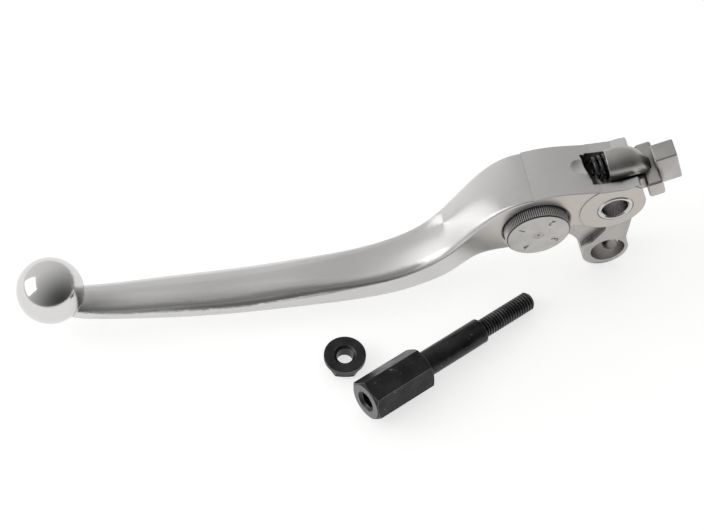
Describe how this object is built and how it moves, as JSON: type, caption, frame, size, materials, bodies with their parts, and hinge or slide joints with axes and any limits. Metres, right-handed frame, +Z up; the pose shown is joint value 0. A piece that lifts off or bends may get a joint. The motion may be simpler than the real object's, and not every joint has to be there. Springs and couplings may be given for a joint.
{
  "type": "clutch lever",
  "caption": "Curved hand lever with a ball end, forked pivot, numbered reach dial and push rod knuckle, lying with its loose hexagon pivot bolt and flanged nut.",
  "frame": {"origin": "centre of the pivot bore at the middle of the lever's thickness", "axes": "Y along the pivot axis with the dial facing -Y, -X along the blade towards the ball, +Z up from the table the lever lies on"},
  "size_m": [0.2022, 0.0664, 0.0508],
  "materials": {
    "polished_aluminium": "polished, with a fine satin grain along the blade",
    "cast_aluminium": "matte as-cast",
    "hardened_steel": "ground",
    "bush_steel": "turned",
    "spring_black": "black coated wire",
    "dial_steel": "satin, straight knurled rim",
    "cam_steel": "turned",
    "rivet_steel": "satin",
    "spring_steel": "plain spring steel",
    "clip_black": "black phosphate",
    "black_oxide": "black oxide, lightly worn at the edges"
  },
  "bodies": {
    "lever": {"lever_blade": "polished_aluminium", "detent_spring": "spring_steel", "cam_washer": "spring_steel", "reach_spring": "spring_black"},
    "knuckle": {"knuckle": "cast_aluminium", "contact_pad": "hardened_steel"},
    "dial": {"adjuster_dial": "dial_steel", "cam_shaft": "cam_steel", "dial_rivet": "rivet_steel", "cam_clip": "clip_black"},
    "bush": {"pivot_bush": "bush_steel"},
    "detent_ball": {"detent_ball": "hardened_steel"},
    "bolt": {"pivot_bolt": "black_oxide"},
    "nut": {"pivot_nut": "black_oxide"}
  },
  "joints": [
    {"name": "dial_turn", "type": "hinge", "parent": "lever", "child": "dial", "pos_m": [-0.0239, 0, -0.0042], "axis": [0, -1, 0], "range_deg": [0, 270]},
    {"name": "reach_adjust", "type": "hinge", "parent": "lever", "child": "knuckle", "pos_m": [0, 0, 0], "axis": [0, -1, 0], "range_deg": [0, 5.61], "deforming": ["reach_spring"]},
    {"name": "lever_pivot", "type": "hinge", "parent": "lever", "child": "bush", "pos_m": [0, 0, 0], "axis": [0, -1, 0], "range_deg": [0, 22]},
    {"name": "detent_click", "type": "slide", "parent": "lever", "child": "detent_ball", "axis": [0, -1, 0], "range_m": [0, 0.0004]},
    {"name": "bolt_lift", "type": "slide", "parent": "lever", "child": "bolt", "axis": [0, 0, 1], "range_m": [0, 0.1]},
    {"name": "nut_lift", "type": "slide", "parent": "lever", "child": "nut", "axis": [0, 0, 1], "range_m": [0, 0.05]}
  ],
  "couplings": [
    {"joint": "reach_adjust", "follows": "dial_turn", "ratio": 0.020741}
  ]
}
